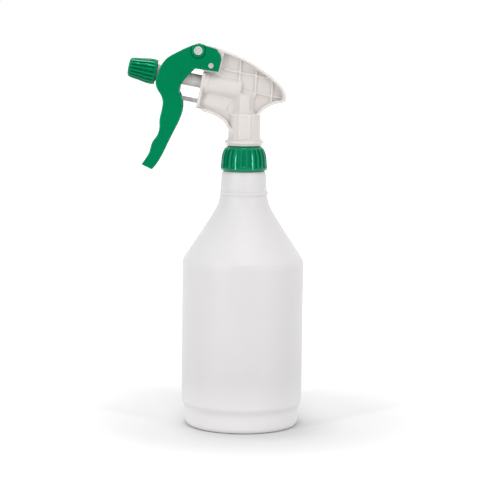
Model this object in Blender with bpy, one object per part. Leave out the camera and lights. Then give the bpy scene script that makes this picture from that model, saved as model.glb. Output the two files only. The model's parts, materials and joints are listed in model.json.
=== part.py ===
"""Trigger spray bottle: a round milky bottle with a screwed-on trigger head.

All sizes below are in millimetres and are scaled to metres when a mesh is made. The origin is on the
bottle's axis at the surface it stands on, +Z is up and the nozzle points to -X.
"""

import math

import bmesh
import bpy
from mathutils import Matrix, Vector

MM = 0.001
GAP = 0.3  # between pieces that touch in the real object

# Bottle
WALL = 1.3
BODY_RADIUS = 43.9
BODY_TOP = 117.0
BASE_RADIUS = 41.0
PANEL_HEIGHT = 1.2  # the raised middle of the base
NECK_STEP = 184.8
LIP_TOP = 196.6
FINISH_RADIUS = 12.6
FINISH_BORE = 10.8
BOTTLE_STEPS = 32

# Neck thread and collar
THREAD_PITCH = 25.4 / 6
THREAD_TURNS = 1.25
THREAD_START = 187.4
NECK_THREAD_CREST = 13.7
COLLAR_BORE = 14.2
COLLAR_THREAD_CREST = 12.9
COLLAR_BOTTOM = 185.6
COLLAR_TOP = 203.0
COLLAR_RIBS = 24

# Head
FLANGE_BOTTOM = COLLAR_TOP + GAP
NECK_TUBE_RADIUS = 11.5
NECK_TUBE_BORE = 9.9
SOCKET_TOP = 215.0
DIP_TUBE_RADIUS = 2.8
INLET_SEAT = 205.0
INLET_BALL_RADIUS = 2.0
LIP_HALF_WIDTH = 9.0
WEB_HALF_WIDTH = 4.2
RIB_HALF_WIDTH = 5.6
SIDE_STEPS = 24

# Pump barrel: s runs rearwards along its axis from the drive trunnions, t is square to it and up
BARREL_ORIGIN = (-45.1, 0.0, 251.35)
BARREL_PITCH = math.radians(11.0)
CYLINDER_RADIUS = 8.0
CYLINDER_BORE = 6.4
CYLINDER_END = 42.5
PLATE_FRONT = 14.2
PLATE_THICKNESS = 2.0
PLATE_HALF_WIDTH = 8.8
PLUNGER_RADIUS = 4.65
NECK_RING_RADIUS = 6.1
VENT_DROP = -14.1
VENT_ROD_RADIUS = 1.6
VENT_BORE = 2.4
PISTON_REAR = 24.0
SPRING_END = 40.6

# Nozzle
NOZZLE_REAR = -18.7
NOZZLE_FRONT = -39.0
NOZZLE_RIBS = 18

# Trigger
PIVOT = (-33.3, 270.8)
CHEEK_INNER = 9.15
CHEEK_OUTER = 10.75
TRIGGER_WALL = 1.8
PIVOT_PIN_RADIUS = 1.75
PIVOT_HEAD_RADIUS = 3.1
STOP_PIN = (-24.2, 260.2)
STOP_PIN_RADIUS = 1.4
STOP_HEAD_RADIUS = 1.85
TRIGGER_SWING = math.radians(20.0)
TRUNNION_RADIUS = 1.5
TRUNNION_END = 9.75

UP = Matrix.Identity(4)
BARREL = Matrix.Translation(BARREL_ORIGIN) @ Matrix.Rotation(BARREL_PITCH, 4, "Y")
ALONG_X = Matrix.Rotation(math.radians(90), 4, "Y")
ALONG_Y = Matrix.Rotation(math.radians(-90), 4, "X")
ALONG_BARREL = BARREL @ ALONG_X


def clear_scene():
    for obj in list(bpy.data.objects):
        bpy.data.objects.remove(obj)


def at(x, y, z):
    return Matrix.Translation((x, y, z))


def plastic(name, colour, roughness):
    material = bpy.data.materials.new(name)
    material.use_nodes = True
    shader = material.node_tree.nodes["Principled BSDF"]
    shader.inputs["Base Color"].default_value = (*colour, 1.0)
    shader.inputs["Roughness"].default_value = roughness
    shader.inputs["Metallic"].default_value = 0.0
    return material


def metal(name, colour, roughness):
    material = plastic(name, colour, roughness)
    material.node_tree.nodes["Principled BSDF"].inputs["Metallic"].default_value = 1.0
    return material


# Shapes


def make_object(name, points, faces, place):
    """A closed mesh object from points in millimetres, with its faces pointing out."""
    mesh = bpy.data.meshes.new(name)
    mesh.from_pydata([(place @ Vector(point)) * MM for point in points], [], faces)
    work = bmesh.new()
    work.from_mesh(mesh)
    bmesh.ops.delete(work, geom=[corner for corner in work.verts if not corner.link_faces], context="VERTS")
    bmesh.ops.recalc_face_normals(work, faces=work.faces)
    work.to_mesh(mesh)
    work.free()
    obj = bpy.data.objects.new(name, mesh)
    bpy.context.scene.collection.objects.link(obj)
    return obj


def turned(name, profile, steps=SIDE_STEPS, place=UP, ribs=0):
    """A profile of (radius, height) points spun about Z.

    A point may have a third number, the height of the ribs there: each rib then takes two columns.
    """
    steps = 2 * ribs or steps
    points, rings = [], []
    for radius, height, *depth in profile:
        ring = []
        for i in range(steps if radius else 1):
            angle = 2 * math.pi * i / steps
            crest = depth[0] if depth and i % 2 else 0.0
            ring.append(len(points))
            points.append(((radius + crest) * math.cos(angle), (radius + crest) * math.sin(angle), height))
        rings.append(ring)
    faces = []
    follows = rings[1:] + ([] if len(rings[0]) == 1 else rings[:1])
    for ring, after in zip(rings, follows):
        lone, full = sorted((ring, after), key=len)
        if len(lone) == 1 and points[lone[0]][2] == points[full[0]][2]:
            faces.append(full)  # a flat end is one face, and its middle point goes
            continue
        for i in range(steps):
            j = (i + 1) % steps
            corners = [ring[i % len(ring)], ring[j % len(ring)], after[j % len(after)], after[i % len(after)]]
            faces.append(list(dict.fromkeys(corners)))
    return make_object(name, points, faces, place)


def prism(name, outline, low, high, place=UP):
    """An outline of (x, z) points, extruded along Y from low to high."""
    count = len(outline)
    points = [(x, y, z) for y in (low, high) for x, z in outline]
    faces = [list(range(count)), list(range(count, 2 * count))]
    for i in range(count):
        j = (i + 1) % count
        faces.append([i, j, count + j, count + i])
    return make_object(name, points, faces, place)


def rod(name, radius, low, high, place, steps=16):
    return turned(name, [(0, high), (radius, high), (radius, low), (0, low)], steps, place)


def swept(name, centres, section, place=UP):
    """A closed tube: section(i) gives the points round centre i."""
    rings = [section(i) for i in range(len(centres))]
    size = len(rings[0])
    points = [point for ring in rings for point in ring]
    faces = [list(range(size)), [len(points) - size + k for k in range(size)]]
    for i in range(len(rings) - 1):
        for k in range(size):
            m = (k + 1) % size
            faces.append([i * size + k, i * size + m, (i + 1) * size + m, (i + 1) * size + k])
    return make_object(name, points, faces, place)


def thread(name, root, crest, width, start, steps_per_turn=20):
    """A right-handed helical ridge between the radii root and crest."""
    count = round(THREAD_TURNS * steps_per_turn) + 1
    angles = [2 * math.pi * i / steps_per_turn for i in range(count)]

    def section(i):
        middle = start + THREAD_PITCH * angles[i] / (2 * math.pi)
        corners = [(root, -width / 2), (crest, -width / 4), (crest, width / 4), (root, width / 2)]
        across = (math.cos(angles[i]), math.sin(angles[i]))
        return [(r * across[0], r * across[1], middle + rise) for r, rise in corners]

    return swept(name, angles, section)


def coil(name, radius, wire, low, high, turns, place, steps_per_turn=12, sides=5):
    """A compression spring about Z, with its wire's ends cut square."""
    count = round(turns * steps_per_turn) + 1
    fractions = [i / (count - 1) for i in range(count)]

    def section(i):
        angle = 2 * math.pi * turns * fractions[i]
        height = low + wire + (high - low - 2 * wire) * fractions[i]
        ring = []
        for k in range(sides):
            turn = 2 * math.pi * k / sides
            out = radius + wire * math.cos(turn)
            ring.append((out * math.cos(angle), out * math.sin(angle), height + wire * math.sin(turn)))
        return ring

    return swept(name, fractions, section, place)


def ball(name, radius, centre, place=UP):
    obj = turned(name, [(0, radius), (0, -radius)], 12)
    work = bmesh.new()
    bmesh.ops.create_icosphere(work, subdivisions=2, radius=radius * MM)
    work.transform(Matrix.Translation((place @ Vector(centre)) * MM))
    work.to_mesh(obj.data)
    work.free()
    return obj


# Outlines


def smooth(points, pieces=2):
    """A Catmull-Rom curve through the points, with its two ends kept."""
    padded = [points[0], *points, points[-1]]
    curve = []
    for before, start, end, after in zip(padded, padded[1:], padded[2:], padded[3:]):
        for step in range(pieces):
            u = step / pieces
            curve.append(tuple(catmull(before[k], start[k], end[k], after[k], u) for k in (0, 1)))
    curve.append(points[-1])
    return curve


def catmull(before, start, end, after, u):
    pull = end - before
    bend = 2 * before - 5 * start + 4 * end - after
    turn = 3 * start - before - 3 * end + after
    return start + 0.5 * u * (pull + u * (bend + u * turn))


def offset(curve, distance):
    """The curve moved to the right of its own direction by distance."""
    moved = []
    for i, (x, z) in enumerate(curve):
        ahead = curve[min(i + 1, len(curve) - 1)]
        behind = curve[max(i - 1, 0)]
        along = Vector((ahead[0] - behind[0], ahead[1] - behind[1])).normalized()
        moved.append((x + distance * along.y, z - distance * along.x))
    return moved


def band(curve, thickness):
    return curve + offset(curve, thickness)[::-1]


def arc(centre, radius, start, end, count):
    """Points on an arc in the XZ plane. Angles are in radians, from +X towards +Z."""
    angles = [start + (end - start) * i / count for i in range(count + 1)]
    return [(centre[0] + radius * math.cos(a), centre[1] + radius * math.sin(a)) for a in angles]


def slot(start, end, half_width):
    """A straight slot with round ends, between two points of the XZ plane."""
    heading = math.atan2(end[1] - start[1], end[0] - start[0])
    quarter = math.pi / 2
    return arc(end, half_width, heading - quarter, heading + quarter, 8) + arc(
        start, half_width, heading + quarter, heading + 3 * quarter, 8
    )


def strip(start, end, thickness):
    """A straight bar between two points, as an outline."""
    along = Vector((end[0] - start[0], end[1] - start[1])).normalized() * thickness / 2
    side = (-along.y, along.x)
    return [
        (start[0] + side[0], start[1] + side[1]),
        (end[0] + side[0], end[1] + side[1]),
        (end[0] - side[0], end[1] - side[1]),
        (start[0] - side[0], start[1] - side[1]),
    ]


# Joining and finishing


def combine(operation, body, tools):
    for tool in tools:
        step = body.modifiers.new("step", "BOOLEAN")
        step.operation = operation
        step.solver = "EXACT"
        step.object = tool
        bpy.context.view_layer.update()
        graph = bpy.context.evaluated_depsgraph_get()
        result = bpy.data.meshes.new_from_object(body.evaluated_get(graph))
        body.modifiers.clear()
        body.data = result
        bpy.data.objects.remove(tool)
    return body


def join(body, *tools):
    return combine("UNION", body, tools)


def cut(body, *tools):
    return combine("DIFFERENCE", body, tools)


def finish(obj, material, frame):
    """Gives an object its material and hangs it on the empty that marks its joint."""
    obj.data.materials.clear()
    obj.data.materials.append(material)
    obj.data.shade_smooth()
    obj.data.set_sharp_from_angle(angle=math.radians(35))
    obj.data.transform(frame.matrix_world.inverted())
    obj.parent = frame


def empty(name, place):
    frame = bpy.data.objects.new(name, None)
    bpy.context.scene.collection.objects.link(frame)
    scaled = place.copy()
    scaled.translation = place.translation * MM
    frame.matrix_world = scaled
    return frame


# Bottle and closure


def bottle_wall():
    """The outside of the bottle from the neck down to the base step, as (radius, height)."""
    neck = [(15.8, 184.1), (16.5, 175.3), (16.6, 171.2), (17.7, 169.2), (17.0, 166.8)]
    shoulder = [(17.6, 163.7), (18.6, 160.8), (21.5, 155.0), (24.9, 149.2), (40.5, 125.6)]
    edge = [(42.5, 122.6), (43.5, 119.8), (BODY_RADIUS, BODY_TOP)]
    return neck + shoulder + edge + [(BODY_RADIUS - 0.3, 16.8)]


def make_bottle():
    wall = bottle_wall()
    finish_outside = [(FINISH_BORE, LIP_TOP), (FINISH_RADIUS, LIP_TOP), (FINISH_RADIUS, NECK_STEP)]
    heel = [(BASE_RADIUS, 12.9), (BASE_RADIUS, 4.0), (39.8, 1.2), (37.0, 0.0), (33.0, 0.0)]
    panel = [(31.0, PANEL_HEIGHT), (0, PANEL_HEIGHT)]
    inner_panel = [(0, PANEL_HEIGHT + WALL), (30.6, PANEL_HEIGHT + WALL), (33.2, WALL), (36.6, WALL)]
    inner_heel = [(38.6, 2.6), (BASE_RADIUS - WALL, 5.0), (BASE_RADIUS - WALL, 13.4)]
    inside = [(radius - WALL, height + 0.4) for radius, height in reversed(wall[1:])]
    inner_neck = [(wall[0][0] - WALL, 182.4), (FINISH_BORE, 184.0)]
    lip_to_base = finish_outside + wall + heel + panel
    base_to_lip = inner_panel + inner_heel + inside + inner_neck
    body = turned("bottle", base_to_lip + lip_to_base, BOTTLE_STEPS)
    ridge = thread("ridge", FINISH_RADIUS - 0.4, NECK_THREAD_CREST, 1.6, THREAD_START)
    return join(body, ridge)


def make_gasket():
    low, high = LIP_TOP + GAP, LIP_TOP + GAP + 1.0
    return turned("neck_gasket", [(10.2, high), (12.5, high), (12.5, low), (10.2, low)])


def make_collar():
    rib = 0.65
    outside = [
        (16.9, 187.3), (15.6, 187.7, rib), (15.6, 194.0, rib), (15.3, 196.2, rib), (14.7, 198.4, rib),
        (13.5, 200.6, rib * 0.7), (12.5, 202.2), (11.6, COLLAR_TOP),
    ]
    inside = [
        (10.2, COLLAR_TOP), (10.2, 199.7), (12.9, 199.7), (12.9, 198.0),
        (COLLAR_BORE, 197.2), (COLLAR_BORE, 186.4), (15.0, COLLAR_BOTTOM),
    ]
    body = turned("collar", [(16.9, COLLAR_BOTTOM), *outside, *inside], ribs=COLLAR_RIBS)
    start = THREAD_START + THREAD_PITCH / 2
    return join(body, thread("ridge", COLLAR_BORE + 0.4, COLLAR_THREAD_CREST, 1.4, start))


# Parts inside the neck


def make_insert():
    """The plug that clips into the head: it traps the collar and holds the dip tube and inlet seat."""
    outside = [
        (3.1, 191.0), (4.6, 191.0), (4.6, 198.2), (12.6, 198.2), (12.6, 199.4), (9.6, 199.4), (9.6, 212.5),
    ]
    inside = [
        (4.3, 212.5), (4.3, 210.5), (2.7, 210.5), (2.7, INLET_SEAT + 1.5), (1.4, INLET_SEAT),
        (1.4, INLET_SEAT - 1), (3.1, INLET_SEAT - 1),
    ]
    body = turned("body_insert", outside + inside, 20)
    return cut(body, rod("vent", 0.8, 190, 220, at(-6.8, 0, 0), 8))


def make_dip_tube():
    bore = DIP_TUBE_RADIUS - 0.8
    top = INLET_SEAT - 1 - GAP
    tube = turned("dip_tube", [(bore, top), (DIP_TUBE_RADIUS, top), (DIP_TUBE_RADIUS, 5.0), (bore, 5.0)], 16)
    bevel = [(-4, 4), (4, 4), (4, 10.5), (-4, 5.5)]
    return cut(tube, prism("bevel", bevel, -4, 4))


# Housing


def top_edge():
    return smooth([
        (-31.0, 274.7), (-23.1, 273.9), (-10.8, 270.0), (4.3, 263.0), (14.4, 256.4), (23.8, 249.0),
        (28.6, 243.2), (29.6, 238.0), (28.6, 234.9), (24.6, 233.9),
    ])


def lip_inner_edge():
    return smooth([
        (-31.0, 272.4), (-22.8, 271.5), (-9.4, 267.3), (2.1, 262.1), (13.7, 254.6), (22.6, 247.3),
        (26.4, 242.2), (27.2, 238.6), (26.4, 236.6), (24.2, 235.9),
    ])


def rear_underside():
    return smooth([(24.6, 233.9), (20.4, 232.8), (14.2, 229.4), (9.6, 224.6)])


def front_underside():
    return smooth([(-8.6, 211.5), (-11.6, 215.2), (-14.9, 220.4), (-21.9, 225.1), (-31.2, 227.9)])


def barrel_point(s, t):
    spot = BARREL @ Vector((s, 0, t))
    return (spot.x, spot.z)


def make_web():
    top = offset(top_edge(), 1.0)
    rear = offset(rear_underside(), 0.9)
    front = offset(front_underside(), 0.9)
    plate = [barrel_point(PLATE_FRONT + 1.0, -18.0), barrel_point(PLATE_FRONT + 1.0, 6.0)]
    bracket = [(-29.3, 262.0), (-35.6, 269.0)]
    return prism("housing", top + rear[1:] + front + plate + bracket, -WEB_HALF_WIDTH, WEB_HALF_WIDTH)


def bracket_outline():
    """The side plates between the barrel and the pivot, hidden by the trigger's cheeks."""
    nose = arc(PIVOT, 3.6, math.radians(215), math.radians(90), 6)
    return [(-30.2, 256.4), (-29.9, 262.5), *nose, (-23.5, 273.0), (-15.6, 268.4), (-18.9, 255.6)]


def housing_ribs():
    upright = [((-3.0, 266.0), (-4.1, 239.0)), ((8.4, 260.0), (7.4, 238.0)), ((19.9, 252.0), (18.9, 233.0))]
    level = [
        (barrel_point(28.0, 12.2), barrel_point(62.0, 12.2)),
        (barrel_point(42.0, 0.0), barrel_point(74.5, 0.0)),
    ]
    return [
        prism("rib", strip(start, end, 1.3), -RIB_HALF_WIDTH, RIB_HALF_WIDTH)
        for start, end in upright + level
    ]


def front_plate():
    """The flat plate at the barrel's mouth, with rounded corners."""
    width, low, high, corner = PLATE_HALF_WIDTH, -19.0, 7.0, 2.5
    outline = []
    for across, up, start in ((1, 1, 0), (-1, 1, 90), (-1, -1, 180), (1, -1, 270)):
        height = high - corner if up > 0 else low + corner
        centre = (across * (width - corner), height)
        outline += arc(centre, corner, math.radians(start), math.radians(start + 90), 3)
    turn = BARREL @ Matrix.Rotation(math.radians(90), 4, "Z")
    return prism("plate", outline, -PLATE_FRONT - PLATE_THICKNESS, -PLATE_FRONT, turn)


def barrel_outside():
    ring_end = PLATE_FRONT + 5.0
    cylinder = turned("cylinder", [
        (0, PLATE_FRONT + 0.5), (8.7, PLATE_FRONT + 0.5), (8.7, ring_end), (CYLINDER_RADIUS, ring_end + 0.6),
        (CYLINDER_RADIUS, CYLINDER_END), (6.8, CYLINDER_END + 1.2), (0, CYLINDER_END + 1.2),
    ], 24, ALONG_BARREL)
    vent_place = BARREL @ at(0, 0, VENT_DROP) @ ALONG_X
    vent = rod("vent", 5.2, PLATE_FRONT + 0.4, 36.0, vent_place)
    return [cylinder, vent]


def neck_outside():
    """The neck tube on its flange, and the narrower tube that rises from it to the outlet."""
    profile = [
        (0, 243.0), (3.0, 243.0), (8.6, 240.0), (8.6, 227.4), (10.9, 226.6), (NECK_TUBE_RADIUS, 225.6),
        (NECK_TUBE_RADIUS, 212.0), (12.2, 207.6), (13.8, 206.7), (14.2, 206.2), (14.2, 203.7),
        (13.8, FLANGE_BOTTOM), (0, FLANGE_BOTTOM),
    ]
    return turned("neck", profile, 24)


def neck_inside():
    """The socket for the insert, round a spigot that carries the riser."""
    profile = [
        (0, FLANGE_BOTTOM - 1), (NECK_TUBE_BORE, FLANGE_BOTTOM - 1), (NECK_TUBE_BORE, SOCKET_TOP),
        (4.0, SOCKET_TOP), (4.0, 211.0), (0, 211.0),
    ]
    return turned("socket", profile, 24)


def pin_arc():
    """The curved slot in which the stop pin swings about the pivot."""
    reach = math.hypot(STOP_PIN[0] - PIVOT[0], STOP_PIN[1] - PIVOT[1])
    rest = math.atan2(STOP_PIN[1] - PIVOT[1], STOP_PIN[0] - PIVOT[0])
    spare = math.radians(0.5)
    low, high, half = rest - spare, rest + TRIGGER_SWING + spare, STOP_PIN_RADIUS + GAP
    first = arc(PIVOT, reach, low, low, 1)[0]
    last = arc(PIVOT, reach, high, high, 1)[0]
    quarter = math.pi / 2
    outline = arc(PIVOT, reach + half, low, high, 6)
    outline += arc(last, half, high, high + 2 * quarter, 6)[1:]
    outline += arc(PIVOT, reach - half, high, low, 6)[1:]
    outline += arc(first, half, low + 2 * quarter, low + 4 * quarter, 6)[1:-1]
    return outline


def make_housing():
    body = make_web()
    for side in (-1, 1):
        low, high = sorted((side * 7.2, side * 8.9))
        join(body, prism("side", bracket_outline(), low, high))
    join(body, prism("lip", top_edge() + lip_inner_edge()[::-1], -LIP_HALF_WIDTH, LIP_HALF_WIDTH))
    join(body, prism("under", band(rear_underside(), 2.0), -8.4, 8.4))
    join(body, prism("under", band(front_underside(), 2.0), -7.9, 7.9))
    join(body, prism("wall", strip((-15.9, 269.6), (-19.6, 254.9), 1.6), -8.7, 8.7))
    join(body, rod("boss", 3.5, -8.85, 8.85, at(PIVOT[0], 0, PIVOT[1]) @ ALONG_Y))
    join(body, *housing_ribs(), front_plate(), *barrel_outside(), neck_outside())
    cut(body, turned("bore", [
        (0, CYLINDER_END - 1.0), (5.6, CYLINDER_END - 1.0), (CYLINDER_BORE, CYLINDER_END - 1.8),
        (CYLINDER_BORE, PLATE_FRONT - 2), (0, PLATE_FRONT - 2),
    ], 24, ALONG_BARREL))
    vent_place = BARREL @ at(0, 0, VENT_DROP) @ ALONG_X
    cut(body, rod("vent bore", VENT_BORE, PLATE_FRONT - 2, 31.5, vent_place))
    cut(body, neck_inside())
    cut(body, rod("riser", 1.5, 205, 243.6, UP, 12))
    cut(body, rod("port", 1.2, CYLINDER_END - 3, CYLINDER_END + 4.4, ALONG_BARREL, 10))
    vent_top, vent_foot = barrel_point(30.0, VENT_DROP), (-6.8, 213.0)
    cut(body, prism("vent path", strip(vent_top, vent_foot, 1.6), -0.7, 0.7))
    cut(body, rod("pivot hole", PIVOT_PIN_RADIUS + 0.15, -12, 12, at(PIVOT[0], 0, PIVOT[1]) @ ALONG_Y))
    return cut(body, prism("arc", pin_arc(), -12, 12))


# Pump


def make_plunger():
    """The hollow stem from the piston to the nozzle, which slides as one piece."""
    bore, chamber = 1.4, 2.3
    profile = [
        (bore, 23.4), (3.0, 23.4), (3.0, 19.4), (PLUNGER_RADIUS, 19.4), (PLUNGER_RADIUS, -16.2),
        (NECK_RING_RADIUS, -16.6), (NECK_RING_RADIUS, -18.4), (5.0, -18.6), (4.6, -33.0),
        (chamber, -33.0), (chamber, -25.2), (bore, -24.0),
    ]
    return turned("plunger", profile, 20, ALONG_BARREL)


def make_yoke():
    """The clamp on the plunger that carries the drive trunnions and the vent rod."""
    low, high = -4.6, 0.2
    collar = turned("plunger_yoke", [(0, high), (6.8, high), (6.8, low), (0, low)], 20, ALONG_BARREL)
    leg = [(-3.0, -1.0), (0.6, -1.0), (0.6, -17.0), (-3.0, -17.0)]
    join(collar, prism("leg", leg, -3.2, 3.2, BARREL))
    join(collar, rod("cheek", 3.0, -8.6, 8.6, BARREL @ ALONG_Y))
    join(collar, rod("trunnion", TRUNNION_RADIUS, -TRUNNION_END, TRUNNION_END, BARREL @ ALONG_Y))
    cut(collar, rod("bore", PLUNGER_RADIUS + 0.2, -12, 12, ALONG_BARREL, 20))
    rod_place = BARREL @ at(0, 0, VENT_DROP) @ ALONG_X
    return cut(collar, rod("rod bore", VENT_ROD_RADIUS + 0.2, -1.8, 6, rod_place, 16))


def make_piston_cup():
    skirt = CYLINDER_BORE - 0.1
    profile = [
        (3.2, 23.2), (4.8, 23.2), (5.8, PISTON_REAR), (skirt, PISTON_REAR), (skirt, 22.6), (5.9, 21.8),
        (5.9, 20.6), (skirt, 20.0), (skirt, 19.6), (3.2, 19.6),
    ]
    return turned("piston_cup", profile, 24, ALONG_BARREL)


def make_gland():
    low, high = PLATE_FRONT + 0.3, PLATE_FRONT + 3.4
    profile = [(5.0, high), (6.1, high), (6.1, low), (5.0, low)]
    return turned("cylinder_gland", profile, 24, ALONG_BARREL)


def make_return_spring():
    return coil("return_spring", 4.7, 0.5, PISTON_REAR + 0.4, SPRING_END, 7, ALONG_BARREL)


def make_vent_rod():
    place = BARREL @ at(0, 0, VENT_DROP) @ ALONG_X
    profile = [
        (0, 20.8), (1.0, 20.8), (1.0, 17.0), (VENT_ROD_RADIUS, 17.0), (VENT_ROD_RADIUS, -1.5), (0, -1.5)
    ]
    return turned("vent_rod", profile, 16, place)


def make_vent_cup():
    place = BARREL @ at(0, 0, VENT_DROP) @ ALONG_X
    lip, body = VENT_BORE - 0.1, VENT_BORE - 0.5
    profile = [(1.2, 20.6), (lip, 20.6), (body, 19.0), (body, 17.3), (1.2, 17.3)]
    return turned("vent_cup", profile, 16, place)


# Nozzle


def make_nozzle_cap():
    rib = 0.75
    outside = [
        (9.0, NOZZLE_REAR), (9.0, NOZZLE_REAR - 1.5), (8.3, NOZZLE_REAR - 1.8, rib), (8.2, -25.0, rib),
        (7.3, -29.0, rib), (6.8, -32.5, rib), (6.5, -36.0, rib), (6.3, -37.8), (5.7, -38.7),
        (4.8, NOZZLE_FRONT),
    ]
    inside = [
        (0.5, NOZZLE_FRONT), (0.5, -37.0), (4.2, -37.0), (5.4, -36.2), (5.6, -19.8), (6.9, -19.3),
        (6.9, NOZZLE_REAR),
    ]
    return turned("nozzle_cap", outside + inside, place=ALONG_BARREL, ribs=NOZZLE_RIBS)


def make_nozzle_seal():
    profile = [(0.7, -36.7), (4.0, -36.7), (4.0, -35.9), (0.7, -35.9)]
    return turned("nozzle_seal", profile, 20, ALONG_BARREL)


def make_swirl_core():
    """The plug in the plunger's mouth: liquid leaves through the flats on its sides."""
    profile = [(0, -29.8), (1.9, -29.8), (2.05, -31.0), (2.05, -33.2), (1.3, -35.3), (0, -35.3)]
    core = turned("swirl_core", profile, 16, ALONG_BARREL)
    for side in (-1, 1):
        low, high = sorted((side * 1.5, side * 3.0))
        flat = [(-29.0, -3.0), (-36.0, -3.0), (-36.0, 3.0), (-29.0, 3.0)]
        cut(core, prism("flat", flat, low, high, BARREL))
    return core


def make_outlet_spring():
    return coil("outlet_spring", 1.55, 0.25, -29.5, -27.3, 2.5, ALONG_BARREL, 10, 5)


# Trigger


def trigger_front():
    return smooth([
        (-33.2, 276.1), (-40.0, 273.6), (-49.0, 269.3), (-55.9, 265.1), (-60.3, 259.0), (-62.8, 252.2),
        (-63.6, 247.2), (-62.3, 243.0), (-59.6, 238.6), (-58.5, 234.0), (-59.2, 228.4), (-60.7, 221.8),
        (-60.8, 215.6), (-62.2, 210.6), (-65.9, 205.2), (-68.0, 198.0), (-70.6, 193.6), (-73.5, 189.4),
    ])


def trigger_rear():
    return smooth([
        (-65.9, 185.8), (-62.6, 189.7), (-58.8, 196.2), (-54.7, 204.9), (-50.4, 213.5), (-46.3, 222.1),
        (-44.2, 230.0), (-44.7, 237.0), (-46.6, 242.8), (-45.0, 247.4), (-39.6, 254.0), (-35.4, 258.0),
    ])


def trigger_arm():
    return [(-19.2, 255.7), (-18.6, 256.2), (-16.7, 264.8), (-17.3, 267.6), (-19.4, 271.2), (-20.6, 272.2)]


def make_trigger():
    front, rear = trigger_front(), trigger_rear()
    body = prism("trigger", front + rear + trigger_arm(), -CHEEK_OUTER, CHEEK_OUTER)
    pivot = at(PIVOT[0], 0, PIVOT[1]) @ ALONG_Y
    join(body, rod("boss", 5.0, -11.5, 11.5, pivot, 20))
    inner = [point for point in offset(front, -TRIGGER_WALL) if point[0] < -37.5 and point[1] > 191.5]
    mouth = [(-71.3, 191.2), (-64.4, 187.6), (-52.0, 182.0), (-10.0, 200.0), (-10.0, 280.0)]
    opening = [(-37.5, 280.0), *inner, *mouth]
    cut(body, prism("channel", opening, -CHEEK_INNER, CHEEK_INNER))
    window = [(-70.0, 247.6), (-48.0, 247.6), (-48.0, 268.2), (-70.0, 268.2)]
    cut(body, prism("window", window, -6.6, 6.6))
    travel = barrel_travel()
    for side in (-1, 1):
        low, high = sorted((side * (CHEEK_INNER - 1), side * (TRUNNION_END + GAP)))
        cut(body, prism("trunnion slot", slot(*travel, TRUNNION_RADIUS + GAP), low, high))
        low, high = sorted((side * 10.9, side * 12.0))
        cut(body, rod("seat", PIVOT_HEAD_RADIUS + 0.2, low, high, pivot, 20))
    cut(body, rod("pivot hole", PIVOT_PIN_RADIUS + 0.2, -12, 12, pivot))
    stop = at(STOP_PIN[0], 0, STOP_PIN[1]) @ ALONG_Y
    return cut(body, rod("stop hole", STOP_PIN_RADIUS + 0.1, -12, 12, stop))


def barrel_travel():
    """Where the trunnions lie in the trigger at rest and at full pull."""
    rest = Vector((BARREL_ORIGIN[0], 0, BARREL_ORIGIN[2]))
    centre = Vector((PIVOT[0], 0, PIVOT[1]))
    inward = (centre - rest).normalized() * 1.5
    return (rest.x, rest.z), ((rest + inward).x, (rest + inward).z)


def headed_pin(name, centre, radius, head_radius, head_low, head_high):
    """A pin across the head with a dished head on each end."""
    profile = [
        (0, head_high - 0.3), (head_radius * 0.5, head_high - 0.3), (head_radius * 0.6, head_high),
        (head_radius - 0.2, head_high), (head_radius, head_high - 0.2), (head_radius, head_low),
        (radius, head_low),
    ]
    mirrored = [(r, -h) for r, h in reversed(profile)]
    return turned(name, profile + mirrored, 16, at(centre[0], 0, centre[1]) @ ALONG_Y)


# Everything


def build():
    clear_scene()
    milky = plastic("bottle_hdpe", (0.75, 0.75, 0.76), 0.35)
    white = plastic("housing_white", (0.76, 0.72, 0.70), 0.4)
    green = plastic("green_plastic", (0.005, 0.24, 0.1), 0.4)
    grey = plastic("stem_grey", (0.55, 0.52, 0.5), 0.4)
    pin = plastic("pin_white", (0.85, 0.83, 0.83), 0.35)
    natural = plastic("dip_tube_natural", (0.8, 0.8, 0.78), 0.3)
    seal = plastic("seal_rubber", (0.12, 0.12, 0.12), 0.7)
    steel = metal("spring_steel", (0.6, 0.6, 0.6), 0.25)

    base = empty("bottle_axis", UP)
    head = empty("head_axis", at(0, 0, COLLAR_TOP))
    barrel = empty("barrel_axis", BARREL)
    pivot = empty("trigger_pivot", at(PIVOT[0], 0, PIVOT[1]))
    bpy.context.view_layer.update()

    parts = [
        (make_bottle(), milky, base),
        (make_gasket(), seal, base),
        (make_collar(), green, base),
        (make_housing(), white, head),
        (make_insert(), white, head),
        (make_dip_tube(), natural, head),
        (ball("inlet_ball", INLET_BALL_RADIUS, (0, 0, INLET_SEAT + 1.67)), steel, head),
        (headed_pin("pivot_pin", PIVOT, PIVOT_PIN_RADIUS, PIVOT_HEAD_RADIUS, 11.0, 11.9), pin, head),
        (make_gland(), white, barrel),
        (make_return_spring(), steel, barrel),
        (make_plunger(), grey, barrel),
        (make_yoke(), grey, barrel),
        (make_piston_cup(), seal, barrel),
        (make_vent_rod(), grey, barrel),
        (make_vent_cup(), seal, barrel),
        (ball("outlet_ball", 1.7, (-25.35, 0, 0), BARREL), steel, barrel),
        (make_outlet_spring(), steel, barrel),
        (make_swirl_core(), white, barrel),
        (make_nozzle_seal(), seal, barrel),
        (make_nozzle_cap(), green, barrel),
        (make_trigger(), green, pivot),
        (headed_pin("stop_pin", STOP_PIN, STOP_PIN_RADIUS, STOP_HEAD_RADIUS, 10.85, 11.4), pin, pivot),
    ]
    for obj, material, frame in parts:
        finish(obj, material, frame)


build()
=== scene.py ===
"""The looks of a trigger spray bottle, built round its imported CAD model.

Sizes are in millimetres in the CAD model's own frame: the bottle's axis is Z, the floor is z = 0 and the
nozzle points to -X. Meshes are scaled to metres when they are made.
"""

import json
import math

import bmesh
import bpy
from mathutils import Matrix, Vector


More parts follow.
